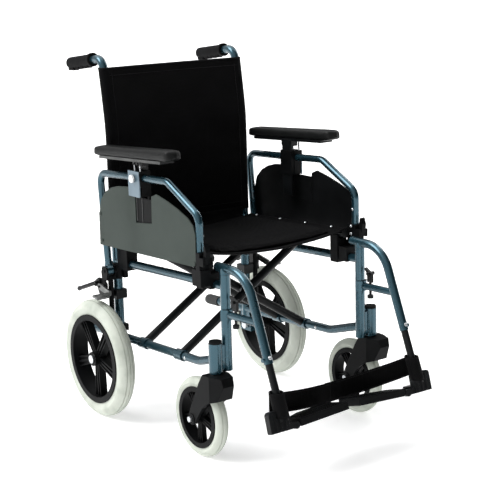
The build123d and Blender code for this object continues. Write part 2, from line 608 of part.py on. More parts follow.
def footplate():
    """Ribbed plate that folds up on the bracket's pin. Its inner end is a little raised."""
    slab_low, slab_high = HINGE_W - 6, HINGE_W + 12
    outline = [
        (FOOT_HINGE_X - 12, 1), (FOOT_INNER_X, 1), (FOOT_INNER_X, 80), (FOOT_INNER_X + 10, 87),
        (108, 87), (FOOT_HINGE_X - 12, 58),
    ]
    slab = Pos(0, 0, slab_low) * extrude(make_face(Polyline(*outline, close=True)), amount=slab_high - slab_low)
    inside = offset(make_face(Polyline(*outline, close=True)), amount=-4)
    hollow = Pos(0, 0, slab_low - 1) * extrude(inside, amount=12)
    for n in range(3):
        hollow -= block((FOOT_INNER_X + 34 + 38 * n, -5, 0), (FOOT_INNER_X + 37 + 38 * n, 100, 30))
    hollow -= block((0, 42, 0), (200, 45, 30))
    plate = slab - hollow
    for n in range(7):
        plate += block((FOOT_INNER_X + 12, 8 + 8 * n, slab_high - 0.5), (FOOT_HINGE_X - 22, 10.5 + 8 * n, slab_high + 1))
    knuckle = rod((FOOT_HINGE_X, 12.6, HINGE_W), (FOOT_HINGE_X, 33.4, HINGE_W), 8)
    plate += knuckle + block((FOOT_HINGE_X - 14, 12.6, HINGE_W), (FOOT_HINGE_X, 33.4, HINGE_W + 8))
    plate -= rod((FOOT_HINGE_X, 0, HINGE_W), (FOOT_HINGE_X, 50, HINGE_W), 4 + EPS)
    hinge = Pos(FOOT_HINGE_X, 0, HINGE_W)
    return FOOT_FRAME * (hinge * Rot(0, FOOT_RISE, 0) * hinge.inverse() * plate)


def calf_strap():
    """Webbing band behind the heels, from one leg tube to the other, sagging in the middle."""
    end_x, end_y, mid_y, thick = 221, -420, -359, 3
    front = ThreePointArc((-end_x, end_y), (0, mid_y - thick), (end_x, end_y))
    back = ThreePointArc((end_x, end_y + thick), (0, mid_y), (-end_x, end_y + thick))
    ends = Line((end_x, end_y), (end_x, end_y + thick)) + Line((-end_x, end_y + thick), (-end_x, end_y))
    band = Pos(0, 0, 100) * extrude(make_face(front + back + ends), amount=150)
    top = ThreePointArc((-end_x - 1, 219), (0, 180), (end_x + 1, 219))
    low = ThreePointArc((end_x + 1, 165), (0, 126), (-end_x - 1, 165))
    sides = Line((end_x + 1, 219), (end_x + 1, 165)) + Line((-end_x - 1, 165), (-end_x - 1, 219))
    view = extrude(Plane.XZ.offset(300) * make_face(top + low + sides), amount=180)
    return band & view


# ---------------------------------------------------------------- build

save_pair("side_frame", side_frame())
save_pair("back_cane", back_cane())
save_pair("push_grip", push_grip())
save_pair("tipping_cap", tipping_cap())
save_pair("armrest_mounts", *armrest_mounts())
save_pair("seat_saddles", *seat_saddles())

save_pair("rear_tyre", tyre(WHEEL_X, WHEEL_Y, WHEEL_R, TYRE_HALF, 116, 136, [(-9, 153.5), (0, 155.5), (9, 153.5)]))
save_pair("rear_rim", spoked_rim(WHEEL_X, WHEEL_Y, WHEEL_R, 115.9, 119.6, 20.4, 104, 19, 34, 24, 20, 6 + EPS))
save_pair("rear_axle", rear_axle())
save_pair("caster_tyre", tyre(CASTER_X, CASTER_Y, CASTER_R, CASTER_TYRE_HALF, 73, 86, [(-6, 97.3), (6, 97.3)]))
save_pair("caster_rim", spoked_rim(CASTER_X, CASTER_Y, CASTER_R, 72.9, 76.5, 13.4, 64, 15, 20, 20, 15, 4 + EPS))
save_pair("caster_fork", caster_fork())
save_pair("caster_stem", *caster_stem())

save_pair("brake_bracket", brake_bracket())
save_pair("brake_lever", brake_lever())
save_pair("brake_shoe", brake_shoe())

save("cross_member_a", cross_member(1, SLEEVES_A))
save("cross_member_b", cross_member(-1, SLEEVES_B))
save("pivot_bolts", *pivot_bolts())
save("seat_sling", seat_sling())
save("back_sling", back_sling())

save_pair("armrest_tube", armrest_tube())
save_pair("side_panel", side_panel())
save_pair("height_clamp", height_clamp())
save_pair("height_button", height_button())
save_pair("pad_post", pad_post())
save_pair("armrest_pad", armrest_pad())
save_pair("armrest_latch", armrest_latch())

save_pair("hanger", hanger())
save_pair("hanger_latch", hanger_latch())
save_pair("extension_tube", extension_tube())
save_pair("footplate", footplate())
save("calf_strap", calf_strap())
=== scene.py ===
import bmesh
import bpy
import json
from math import cos, pi, radians, sin, sqrt, tan, tau
from mathutils import Matrix, Vector
from mathutils.noise import noise


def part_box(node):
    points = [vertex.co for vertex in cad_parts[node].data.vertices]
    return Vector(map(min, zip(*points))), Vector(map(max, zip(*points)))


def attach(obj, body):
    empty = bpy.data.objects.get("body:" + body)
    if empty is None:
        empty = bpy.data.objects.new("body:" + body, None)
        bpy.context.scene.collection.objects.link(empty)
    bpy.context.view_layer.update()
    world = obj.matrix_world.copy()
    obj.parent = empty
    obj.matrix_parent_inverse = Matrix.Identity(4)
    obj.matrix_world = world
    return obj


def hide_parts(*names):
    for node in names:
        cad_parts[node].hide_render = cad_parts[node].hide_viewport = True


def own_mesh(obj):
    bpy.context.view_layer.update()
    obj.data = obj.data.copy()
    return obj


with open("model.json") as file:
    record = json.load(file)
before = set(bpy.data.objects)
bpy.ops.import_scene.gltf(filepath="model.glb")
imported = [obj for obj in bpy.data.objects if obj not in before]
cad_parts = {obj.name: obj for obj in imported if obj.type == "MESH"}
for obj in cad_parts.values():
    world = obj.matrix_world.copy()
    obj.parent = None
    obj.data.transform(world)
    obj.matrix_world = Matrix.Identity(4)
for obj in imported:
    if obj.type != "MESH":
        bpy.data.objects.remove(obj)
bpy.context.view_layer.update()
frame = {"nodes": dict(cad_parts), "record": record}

SIDES = (("right", -1), ("left", 1))     # name of each side, and the sign of its X
PURE_WHITE = (1, 1, 1, 1)

# ---------------------------------------------------------------- node helpers


class Nodes:
    """Short-hand for building one material's node tree."""

    def __init__(self, name, **values):
        self.mat = bpy.data.materials.new(name)
        self.mat.use_nodes = True
        self.tree = self.mat.node_tree
        self.shader = self.tree.nodes["Principled BSDF"]
        self.coords = self.add("ShaderNodeTexCoord").outputs["Object"]
        for socket, value in values.items():
            self.shader.inputs[socket.replace("_", " ")].default_value = value

    def add(self, kind, inputs=(), **settings):
        node = self.tree.nodes.new(kind)
        for key, value in settings.items():
            setattr(node, key, value)
        for socket, value in dict(inputs).items():
            target = node.inputs[socket]
            if isinstance(value, bpy.types.NodeSocket):
                self.tree.links.new(value, target)
            else:
                target.default_value = value
        return node

    def noise(self, scale, detail=4.0, stretch=(1, 1, 1)):
        place = self.add("ShaderNodeMapping", {"Vector": self.coords, "Scale": stretch})
        node = self.add("ShaderNodeTexNoise", {
            "Vector": place.outputs["Vector"], "Scale": scale, "Detail": detail})
        return node.outputs["Fac"]

    def wave(self, scale, direction):
        inputs = {"Vector": self.coords, "Scale": scale}
        node = self.add("ShaderNodeTexWave", inputs, wave_type="BANDS", bands_direction=direction)
        return node.outputs["Fac"]

    def math(self, operation, a, b):
        return self.add("ShaderNodeMath", {0: a, 1: b}, operation=operation).outputs[0]

    def blend(self, first, second, share):
        """Weighted mean of two factors, with share of the first."""
        return self.math("ADD", self.math("MULTIPLY", first, share), self.math("MULTIPLY", second, 1 - share))

    def ramp(self, factor, stops):
        node = self.add("ShaderNodeValToRGB", {"Fac": factor})
        elements = node.color_ramp.elements
        while len(elements) < len(stops):
            elements.new(0.5)
        for element, (position, colour) in zip(elements, stops):
            element.position = position
            element.color = (*colour, 1)
        return node.outputs["Color"]

    def range(self, factor, low, high, start=0.0, end=1.0):
        node = self.add("ShaderNodeMapRange", {
            "Value": factor, "From Min": start, "From Max": end, "To Min": low, "To Max": high})
        return node.outputs["Result"]

    def drive(self, socket, value):
        self.tree.links.new(value, self.shader.inputs[socket])

    def bump(self, height, distance, strength, edge=0.0):
        """Fine relief. An edge radius softens the sharp corners of a hard part."""
        inputs = {"Height": height, "Distance": distance, "Strength": strength}
        if edge:
            inputs["Normal"] = self.add("ShaderNodeBevel", {"Radius": edge}, samples=4).outputs["Normal"]
        self.drive("Normal", self.add("ShaderNodeBump", inputs).outputs["Normal"])


# ---------------------------------------------------------------- materials


def tube_paint():
    """Metallic steel-blue paint with fine flake under a clear coat."""
    n = Nodes("tube_paint", Metallic=0.8, Coat_Weight=0.6, Coat_Roughness=0.05)
    flake = n.noise(5200, 2)
    cloud = n.noise(6, 3)
    n.drive("Base Color", n.ramp(n.blend(flake, cloud, 0.7), [
        (0.30, (0.014, 0.050, 0.070)), (0.50, (0.021, 0.068, 0.093)), (0.72, (0.031, 0.092, 0.122))]))
    n.drive("Roughness", n.range(n.noise(25, 4), 0.24, 0.31))
    n.bump(flake, 0.00002, 0.25, edge=0.001)
    return n.mat


def black_paint():
    """Powder coat: near black with a faint orange peel."""
    n = Nodes("black_paint", Specular_IOR_Level=0.14, Coat_Weight=0.08, Coat_Roughness=0.15)
    peel = n.noise(900, 2)
    n.drive("Base Color", n.ramp(n.noise(14, 4), [
        (0.35, (0.003, 0.0035, 0.004)), (0.7, (0.007, 0.008, 0.009))]))
    n.drive("Roughness", n.range(peel, 0.30, 0.46))
    n.bump(peel, 0.00008, 0.6, edge=0.001)
    return n.mat


def moulded(name, dark, light, rough=(0.38, 0.55), grain=1500, depth=0.00008):
    """Moulded plastic with a spark-eroded grain and a little scuffing."""
    n = Nodes(name, Specular_IOR_Level=0.07)
    fine = n.noise(grain, 3)
    broad = n.noise(11, 5)
    n.drive("Base Color", n.ramp(broad, [(0.35, dark), (0.68, light)]))
    n.drive("Roughness", n.range(n.blend(fine, broad, 0.5), rough[0], rough[1], 0.3, 0.7))
    n.bump(fine, depth, 0.7, edge=0.0012)
    return n.mat


def tyre_rubber():
    """Pale grey polyurethane, a little dusty, with fine moulding lines."""
    n = Nodes("grey_tyre", Specular_IOR_Level=0.35)
    dust = n.noise(22, 6)
    fine = n.noise(1300, 3)
    n.drive("Base Color", n.ramp(dust, [
        (0.25, (0.36, 0.39, 0.34)), (0.5, (0.48, 0.51, 0.45)), (0.8, (0.56, 0.59, 0.53))]))
    n.drive("Roughness", n.range(dust, 0.58, 0.78))
    n.bump(fine, 0.00010, 0.6)
    return n.mat


def soft_black(name, rough, grain, depth):
    """Dull black rubber or foam skin."""
    n = Nodes(name, Specular_IOR_Level=0.07)
    fine = n.noise(grain, 4)
    n.drive("Base Color", n.ramp(n.noise(16, 4), [
        (0.35, (0.003, 0.003, 0.0035)), (0.7, (0.007, 0.007, 0.0075))]))
    n.drive("Roughness", n.range(fine, rough[0], rough[1], 0.3, 0.7))
    n.bump(fine, depth, 0.8, edge=0.0015)
    return n.mat


def plated(name, dark, light):
    """Plated steel with faint brushing and colour drift."""
    n = Nodes(name, Metallic=1.0)
    brush = n.noise(260, 3, (1, 1, 14))
    n.drive("Base Color", n.ramp(n.noise(30, 4), [(0.3, dark), (0.7, light)]))
    n.drive("Roughness", n.range(brush, 0.20, 0.38))
    n.bump(brush, 0.00003, 0.5, edge=0.0006)
    return n.mat


def panel_plastic():
    """Side panel: satin grey-green sheet with a soft mottle."""
    n = Nodes("panel", Specular_IOR_Level=0.08)
    broad = n.noise(7, 5)
    fine = n.noise(1100, 3)
    n.drive("Base Color", n.ramp(broad, [(0.3, (0.030, 0.039, 0.034)), (0.7, (0.044, 0.055, 0.049))]))
    n.drive("Roughness", n.range(fine, 0.34, 0.50))
    n.bump(fine, 0.00007, 0.6, edge=0.001)
    return n.mat


def clamp_paint():
    """Cast clamp painted steel blue, satin."""
    n = Nodes("clamp_paint", Metallic=0.35, Coat_Weight=0.3, Coat_Roughness=0.2)
    fine = n.noise(700, 3)
    n.drive("Base Color", n.ramp(n.noise(12, 4), [
        (0.3, (0.085, 0.130, 0.165)), (0.7, (0.130, 0.185, 0.225))]))
    n.drive("Roughness", n.range(fine, 0.30, 0.46))
    n.bump(fine, 0.00008, 0.6, edge=0.0012)
    return n.mat


WAVE_RATE = 20      # radians in a metre of a wave texture at scale 1


def weave(name, pitch, dark, light, depth):
    """Coated nylon: a plain weave, drawn in the object's own axes."""
    n = Nodes(name, Sheen_Weight=0.01, Sheen_Roughness=0.5, Specular_IOR_Level=0.04)
    scale = tau / pitch / WAVE_RATE
    across = n.wave(scale, "X")
    up = n.math("MAXIMUM", n.wave(scale, "Z"), n.wave(scale, "Y"))
    cloth = n.math("MULTIPLY", across, up)
    fold = n.noise(12, 4)
    n.drive("Base Color", n.ramp(n.blend(cloth, fold, 0.4), [(0.25, dark), (0.75, light)]))
    n.drive("Roughness", n.range(cloth, 0.62, 0.82))
    n.bump(cloth, depth, 0.7)
    return n.mat


def leatherette():
    """Arm pad skin: fine pebble grain."""
    n = Nodes("vinyl", Specular_IOR_Level=0.15)
    pebbles = n.add("ShaderNodeTexVoronoi", {"Vector": n.coords, "Scale": 620.0}, feature="F1")
    cells = pebbles.outputs["Distance"]
    n.drive("Base Color", n.ramp(n.noise(18, 4), [
        (0.35, (0.004, 0.0045, 0.0045)), (0.7, (0.009, 0.0095, 0.0095))]))
    n.drive("Roughness", n.range(cells, 0.36, 0.52))
    n.bump(cells, 0.00018, 0.7)
    return n.mat


def studio_white(name, glow, roughness, mottle, light):
    """Pale matt surface of the studio, which also glows a little."""
    n = Nodes(name, Roughness=roughness, Specular_IOR_Level=0.0, Emission_Strength=glow)
    n.shader.inputs["Emission Color"].default_value = PURE_WHITE
    n.drive("Base Color", n.ramp(n.noise(mottle, 2), [(0.3, (0.90, 0.90, 0.90)), (0.7, (light,) * 3)]))
    return n.mat


PAINTS = {
    "tube_paint": tube_paint(),
    "black_paint": black_paint(),
    "black_plastic": moulded("black_plastic", (0.0025, 0.0027, 0.003), (0.006, 0.0065, 0.007)),
    "grey_tyre": tyre_rubber(),
    "grey_plastic": moulded("grey_plastic", (0.060, 0.062, 0.062), (0.105, 0.107, 0.105)),
    "panel": panel_plastic(),
    "black_rubber": soft_black("black_rubber", (0.55, 0.75), 900, 0.00014),
    "zinc": plated("zinc", (0.50, 0.52, 0.54), (0.72, 0.74, 0.76)),
    "nylon": weave("nylon", 0.0011, (0.0016, 0.0016, 0.0018), (0.0045, 0.0045, 0.005), 0.00022),
    "vinyl": leatherette(),
    "webbing": weave("webbing", 0.0022, (0.002, 0.002, 0.0022), (0.007, 0.007, 0.0075), 0.0005),
    "clamp_paint": clamp_paint(),
}
DARK_STEEL = plated("dark_steel", (0.10, 0.105, 0.105), (0.20, 0.205, 0.20))
STITCH = moulded("stitch_thread", (0.012, 0.012, 0.013), (0.035, 0.035, 0.036), (0.6, 0.8), 2400, 0.0001)
SEAM = soft_black("seam_binding", (0.5, 0.7), 1300, 0.0002)
WHITE = moulded("white_plastic", (0.62, 0.63, 0.63), (0.74, 0.75, 0.75), (0.3, 0.45))


def paint(obj, material):
    obj.data.materials.clear()
    obj.data.materials.append(material)


SLOT_OF = {row["node"]: row["material_slot"] for row in frame["record"]["subparts"]}
for node_name, node in frame["nodes"].items():
    paint(node, PAINTS[SLOT_OF[node_name]])


def repaint(node_name, material, chosen):
    """Gives the faces of a CAD node whose middles pass the test a second material."""
    data = frame["nodes"][node_name].data
    data.materials.append(material)
    for polygon in data.polygons:
        if chosen(polygon.center):
            polygon.material_index = len(data.materials) - 1


RAKE = radians(2.75)            # the side frame's rails fall towards the rear
TUBE_R = 0.011
LOW_RAIL_Z = 0.2142             # lower rail's axis at Y = 0
SIDE_X = 0.210                  # side frame plane
SLEEVE_SKIN = (0.0125, 0.0152)  # distances from the rail's axis that a hinge sleeve's faces lie between
CLAMP_PLATE_X = 0.2553          # inner face of the height clamp's outer plate
PANEL_X = 0.2515                # inner face of the side panel
STEM_CAP_Z = 0.2992             # the caster stem's cap starts here
POST_FACE_X = 0.2679            # the pad post's outer faces lie beyond


def rail_drop(y):
    """How far a raked rail lies below its height at Y = 0."""
    return y * tan(RAKE)


def near_rail(centre):
    """True for the hinge sleeves that turn on the lower rails."""
    rail_z = LOW_RAIL_Z - rail_drop(centre.y)
    away = sqrt((abs(centre.x) - SIDE_X) ** 2 + (centre.z - rail_z) ** 2)
    return SLEEVE_SKIN[0] < away < SLEEVE_SKIN[1]


for side, sign in SIDES:
    repaint(f"height_clamp_{side}", PAINTS["black_plastic"], lambda c: abs(c.x) < CLAMP_PLATE_X)
    # Painted shade: the side panels' inner faces are painted black, for the inside of the far panel, which
    # lies in shade.
    repaint(f"side_panel_{side}", PAINTS["black_plastic"], lambda c: abs(c.x) < PANEL_X + 0.0003)
    repaint(f"caster_stem_{side}", PAINTS["black_plastic"], lambda c: c.z > STEM_CAP_Z)
    # Painted highlight: the pad post's outer side faces are painted light grey, for the light line along its
    # base's edge.
    repaint(f"pad_post_{side}", PAINTS["grey_plastic"], lambda c: abs(c.x) > POST_FACE_X)
    paint(frame["nodes"][f"height_button_{side}"], WHITE)
    paint(frame["nodes"][f"brake_lever_{side}"], PAINTS["black_paint"])
    paint(frame["nodes"][f"brake_shoe_{side}"], DARK_STEEL)
    paint(frame["nodes"][f"hanger_latch_{side}"], PAINTS["black_paint"])
for name in ("cross_member_a", "cross_member_b"):
    repaint(name, PAINTS["tube_paint"], near_rail)

# ---------------------------------------------------------------- mesh helpers


def new_mesh(name, verts, faces, material, smooth=True):
    mesh = bpy.data.meshes.new(name)
    mesh.from_pydata([tuple(v) for v in verts], [], faces)
    mesh.validate()
    obj = bpy.data.objects.new(name, mesh)
    bpy.context.collection.objects.link(obj)
    mesh.materials.append(material)
    bm = bmesh.new()
    bm.from_mesh(mesh)
    bmesh.ops.recalc_face_normals(bm, faces=bm.faces)
    bm.to_mesh(mesh)
    bm.free()
    for polygon in mesh.polygons:
        polygon.use_smooth = smooth
    return obj


def grid_faces(rows, columns, close_columns=False):
    """Quads of a grid of rows by columns, numbered row by row."""
    faces = []
    for i in range(rows - 1):
        for j in range(columns if close_columns else columns - 1):
            k, after = i + 1, (j + 1) % columns
            faces.append((i * columns + j, i * columns + after, k * columns + after, k * columns + j))
    return faces


def flipped(faces, first):
    """The same faces seen from behind, on points numbered from first."""
    return [tuple(first + k for k in reversed(face)) for face in faces]


def sheet_faces(nu, nv):
    """Faces of a thin closed sheet: a grid of nu by nv quads, its copy behind, and the rim between them."""
    front = grid_faces(nu + 1, nv + 1)
    count = (nu + 1) * (nv + 1)
    rim = [i * (nv + 1) for i in range(nu + 1)]
    rim += [nu * (nv + 1) + j for j in range(1, nv + 1)]
    rim += [i * (nv + 1) + nv for i in range(nu - 1, -1, -1)]
    rim += list(range(nv - 1, 0, -1))
    edge = [(a, b, count + b, count + a) for a, b in zip(rim, rim[1:] + rim[:1])]
    return front + flipped(front, count) + edge


def capped_faces(rows, sides):
    """Faces of a closed tube: rows of rings with sides points each, and a cap at both ends."""
    count = rows * sides
    caps = [tuple(range(sides)), tuple(count - 1 - k for k in range(sides))]
    return grid_faces(rows, sides, close_columns=True) + caps


def normal_at(surface, u, v, step=1e-3):
    """Unit normal of surface(u, v), from its slopes."""
    du = Vector(surface(min(u + step, 1), v)) - Vector(surface(max(u - step, 0), v))
    dv = Vector(surface(u, min(v + step, 1))) - Vector(surface(u, max(v - step, 0)))
    return du.cross(dv).normalized()


def slab(name, surface, thickness, nu, nv, material):
    """Closed sheet of cloth: surface(u, v) gives the middle, and thickness is across its normal."""
    top, low = [], []
    for i in range(nu + 1):
        for j in range(nv + 1):
            u, v = i / nu, j / nv
            offset = normal_at(surface, u, v) * (thickness / 2)
            top.append(Vector(surface(u, v)) + offset)
            low.append(Vector(surface(u, v)) - offset)
    return new_mesh(name, top + low, sheet_faces(nu, nv), material)


def tube_along(name, points, radius, material, sides=10):
    """Tube through points, for piping, thread and bent wire."""
    points = [Vector(p) for p in points]
    verts = []
    up = Vector((0, 0, 1))
    for i, p in enumerate(points):
        ahead = points[i + 1] if i + 1 < len(points) else p
        behind = points[i - 1] if i > 0 else p
        along = (ahead - behind).normalized()
        side = along.cross(up)
        if side.length < 0.05:
            side = along.cross(Vector((1, 0, 0)))
        side.normalize()
        other = along.cross(side)
        for k in range(sides):
            a = tau * k / sides
            verts.append(p + side * cos(a) * radius + other * sin(a) * radius)
    return new_mesh(name, verts, capped_faces(len(points), sides), material)


def lathe(name, profile, centre, axis, material, sides=24):
    """Solid turned about an axis. The profile is (along, radius) from end to end."""
    axis = Vector(axis).normalized()
    side = axis.orthogonal().normalized()
    other = axis.cross(side)
    verts = []
    for along, radius in profile:
        for k in range(sides):
            a = tau * k / sides
            verts.append(Vector(centre) + axis * along + (side * cos(a) + other * sin(a)) * radius)
    return new_mesh(name, verts, capped_faces(len(profile), sides), material)


def join(name, objects):
    """One object from several, keeping their materials."""
    for obj in bpy.context.selected_objects:
        obj.select_set(False)
    for obj in objects:
        obj.select_set(True)
    bpy.context.view_layer.objects.active = objects[0]
    bpy.ops.object.join()
    objects[0].name = name
    objects[0].data.name = name
    return objects[0]


def apply_all(obj):
    """Bakes every modifier into the mesh."""
    bpy.context.view_layer.update()
    deps = bpy.context.evaluated_depsgraph_get()
    mesh = bpy.data.meshes.new_from_object(obj.evaluated_get(deps))
    old = obj.data
    obj.modifiers.clear()
    obj.data = mesh
    bpy.data.meshes.remove(old)


def subdivide(obj):
    """One smoothing pass."""
    obj.modifiers.new("subdivision", "SUBSURF").levels = 1
    obj.modifiers["subdivision"].render_levels = 1
    apply_all(obj)


CLOTH_STEPS, CLOTH_STIFFNESS = 20, 20


def inflate(obj, voxel, pressure, cap):
    """Cloth pass: the closed mesh swells under pressure, and no point moves further than cap."""
    obj.modifiers.new("remesh", "REMESH").voxel_size = voxel
    obj.modifiers["remesh"].mode = "VOXEL"
    apply_all(obj)
    rest = [v.co.copy() for v in obj.data.vertices]
    cloth = obj.modifiers.new("cloth", "CLOTH")
    cloth.settings.quality = 5
    cloth.settings.use_pressure = True
    cloth.settings.uniform_pressure_force = pressure
    cloth.settings.effector_weights.gravity = 0
    cloth.settings.tension_stiffness = CLOTH_STIFFNESS
    cloth.settings.compression_stiffness = CLOTH_STIFFNESS
    cloth.collision_settings.use_collision = False
    for step in range(1, CLOTH_STEPS + 1):
        bpy.context.scene.frame_set(step)
    apply_all(obj)
    bpy.context.scene.frame_set(1)
    for vertex, start in zip(obj.data.vertices, rest):
        move = vertex.co - start
        if move.length > cap:
            vertex.co = start + move.normalized() * cap
    for polygon in obj.data.polygons:
        polygon.use_smooth = True


def finish_piece(obj, body, replaces=()):
    """Hides the CAD nodes that the piece stands for and hangs it on the body that carries it."""
    if replaces:
        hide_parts(*replaces)
    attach(obj, body)
    return obj


def lerp(a, b, t):
    return a + (b - a) * t


# ---------------------------------------------------------------- back

cane_low, cane_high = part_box("back_cane_left")
CANE_X = (cane_low[0] + cane_high[0]) / 2
BACK_LOW_Z, BACK_TOP_Z = 0.498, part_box("back_sling")[1][2]
BACK_WRAP, BACK_TURN = TUBE_R + 0.0015, 0.075   # cloth's radius round a cane, and each turn's share of u
REAR_Y = 0.259                                  # cane's axis below its bend
CANE_BEND_Z, CANE_HEAD_Y, CANE_HEAD_Z = 0.770, 0.285, 0.943
CANE_LEAN = (CANE_HEAD_Y - REAR_Y) / (CANE_HEAD_Z - CANE_BEND_Z)
CANE_BEND_REACH = 0.03


def cane_y(z):
    """The cane's axis at height z, with its bend eased."""
    over = z - CANE_BEND_Z
    eased = 0.5 * (over + sqrt(over * over + CANE_BEND_REACH ** 2))
    return REAR_Y + CANE_LEAN * eased


def wrapped(u, turn):
    """Where u lies on a sling: the end's sign and the share of its turn, or None and the share across."""
    if turn <= u <= 1 - turn:
        return None, (u - turn) / (1 - 2 * turn)
    if u < 0.5:
        return -1, (turn - u) / turn
    return 1, (u - 1 + turn) / turn


def back_sheet(u, v):
    """Sling: u goes round from cane to cane, v goes up."""
    z = lerp(BACK_LOW_Z, BACK_TOP_Z, v)
    end, share = wrapped(u, BACK_TURN)
    if end:
        angle = pi * 0.95 * share
        return end * (CANE_X + BACK_WRAP * sin(angle)), cane_y(z) - BACK_WRAP * cos(angle), z
    x = lerp(-CANE_X, CANE_X, share)
    belly = 1 - (2 * share - 1) ** 2
    sag = 0.016 * belly * (0.55 + 0.45 * sin(pi * v))
    crease = 0.0016 * noise(Vector((x * 14, z * 5, 3.1))) * belly
    pull = 0.0012 * sin(z * 90) * (1 - belly) ** 3
    return x, cane_y(z) - BACK_WRAP + sag + crease + pull, z


def stitches(name, surface, start, end, count, material, lift=0.0019, radius=0.00055):
    """Row of short thread stitches between two (u, v) points of a sheet, proud of its front."""
    parts = []
    for k in range(count):
        ends = []
        for t in ((k + 0.15) / count, (k + 0.75) / count):
            u, v = lerp(start[0], end[0], t), lerp(start[1], end[1], t)
            ends.append(Vector(surface(u, v)) + normal_at(surface, u, v) * lift)
        parts.append(tube_along(name, ends, radius, material, sides=5))
    return join(name, parts)


def sheet_size(surface, steps=80):
    """Flat width and length of a sheet, measured along its middle lines."""
    sizes = []
    for line in (lambda t: surface(t, 0.5), lambda t: surface(0.5, t)):
        points = [Vector(line(i / steps)) for i in range(steps + 1)]
        sizes.append(sum((b - a).length for a, b in zip(points, points[1:])))
    return sizes


def ride_and_narrow(obj, body, replaces=()):
    """A soft piece between the sides, hung on its body with a mesh of its own."""
    finish_piece(obj, body, replaces)
    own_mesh(obj)
    return obj


def binding(name, surface, v):
    """Bound edge of a sling, from tube to tube."""
    return tube_along(name, [surface(i / 90, v) for i in range(91)], 0.0026, SEAM, sides=8)


back = slab("back_sling_cloth", back_sheet, 0.0032, 96, 60, PAINTS["nylon"])
sheet_size(back_sheet)
ride_and_narrow(back, "right_side", ["back_sling"])
for tag, v in (("top", 1.0), ("low", 0.0)):
    ride_and_narrow(binding(f"back_binding_{tag}", back_sheet, v), "right_side")
for tag, start, end in (
    ("top", (0.09, 0.955), (0.91, 0.955)),
    ("low", (0.09, 0.05), (0.91, 0.05)),
    ("right", (0.105, 0.03), (0.105, 0.97)),
    ("left", (0.895, 0.03), (0.895, 0.97)),
):
    row = stitches(f"back_stitch_{tag}", back_sheet, start, end, 100, STITCH)
    ride_and_narrow(row, "right_side")

SKIRT_X, SKIRT_LOW_Z = 0.196, 0.447
SKIRT_Y = REAR_Y - 0.0145
SKIRT_OVERLAP = 0.006


def skirt_sheet(u, v):
    """Flap that hangs from the back's lower edge to behind the seat."""
    x, z = lerp(-SKIRT_X, SKIRT_X, u), lerp(SKIRT_LOW_Z, BACK_LOW_Z + SKIRT_OVERLAP, v)
    wave = 0.0010 * noise(Vector((x * 16, z * 8, 9.4)))
    return x, SKIRT_Y + wave + 0.004 * v * (1 - (2 * u - 1) ** 2), z


skirt = slab("back_skirt", skirt_sheet, 0.0022, 70, 8, PAINTS["nylon"])
sheet_size(skirt_sheet)
ride_and_narrow(skirt, "right_side")

# ---------------------------------------------------------------- seat

SEAT_TUBE_Z = 0.481     # seat tube's axis at Y = 0
seat_low, seat_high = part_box("seat_sling")
SEAT_FRONT, SEAT_BACK = seat_low[1], seat_high[1]
SEAT_HEM = 0.002
SEAT_WRAP, SEAT_TURN = TUBE_R + 0.0018, 0.085   # cloth's radius round a seat tube, and each turn's share of u


def seat_tube_z(y):
    return SEAT_TUBE_Z - rail_drop(y)


def seat_sheet(u, v):
    """Sling: u goes round from tube to tube, v goes back."""
    y = lerp(SEAT_FRONT + SEAT_HEM, SEAT_BACK - SEAT_HEM, v)
    base = seat_tube_z(y)
    end, share = wrapped(u, SEAT_TURN)
    if end:
        angle = pi * 0.80 * share
        return end * (SIDE_X + SEAT_WRAP * sin(angle)), y, base + SEAT_WRAP * cos(angle)
    x = lerp(-SIDE_X, SIDE_X, share)
    belly = 1 - (2 * share - 1) ** 2
    crease = 0.0014 * noise(Vector((x * 9, y * 12, 7.7))) * belly
    return x, y, base + SEAT_WRAP - 0.020 * belly ** 0.85 + crease


seat = slab("seat_sling_cloth", seat_sheet, 0.0030, 96, 48, PAINTS["nylon"])
sheet_size(seat_sheet)
ride_and_narrow(seat, "seat", ["seat_sling"])
for tag, v in (("front", 0.0), ("rear", 1.0)):
    ride_and_narrow(binding(f"seat_binding_{tag}", seat_sheet, v), "seat")

PAD_HALF_X, PAD_MARGIN_Y = 0.182, 0.014
PAD_CORNER_START, PAD_CORNER_REACH = 0.86, 0.10     # shares of the half size where a corner pulls in
PAD_EDGE, PAD_CROWN = 0.006, 0.008                  # thickness at the edge, and what the crown adds
PAD_QUADS = 44


def seat_pad():
    """Foam panel sewn on the sling: swells under its cover and pulls in at the edges."""
    top, low = [], []
    for i in range(PAD_QUADS + 1):
        for j in range(PAD_QUADS + 1):
            a, b = 2 * i / PAD_QUADS - 1, 2 * j / PAD_QUADS - 1
            past_x, past_y = max(abs(a) - PAD_CORNER_START, 0), max(abs(b) - PAD_CORNER_START, 0)
            corner = max(0.0, sqrt(past_x ** 2 + past_y ** 2) - PAD_CORNER_REACH)
            x = a * PAD_HALF_X * (1 - 0.5 * corner)
            y = lerp(SEAT_FRONT + PAD_MARGIN_Y, SEAT_BACK - PAD_MARGIN_Y, j / PAD_QUADS)
            u = lerp(SEAT_TURN, 1 - SEAT_TURN, (x + SIDE_X) / (2 * SIDE_X))
            v = (y - SEAT_FRONT) / (SEAT_BACK - SEAT_FRONT)
            ground = seat_sheet(u, v)[2] + 0.0020
            crown = (1 - abs(a) ** 5) * (1 - abs(b) ** 5)
            top.append((x, y, ground + PAD_EDGE + PAD_CROWN * crown))
            low.append((x, y, ground))
    pad = new_mesh("seat_pad", top + low, sheet_faces(PAD_QUADS, PAD_QUADS), PAINTS["nylon"])
    inflate(pad, 0.004, 4.0, 0.005)
    subdivide(pad)
    paint(pad, PAINTS["nylon"])
    return pad


pad = seat_pad()
ride_and_narrow(pad, "seat")

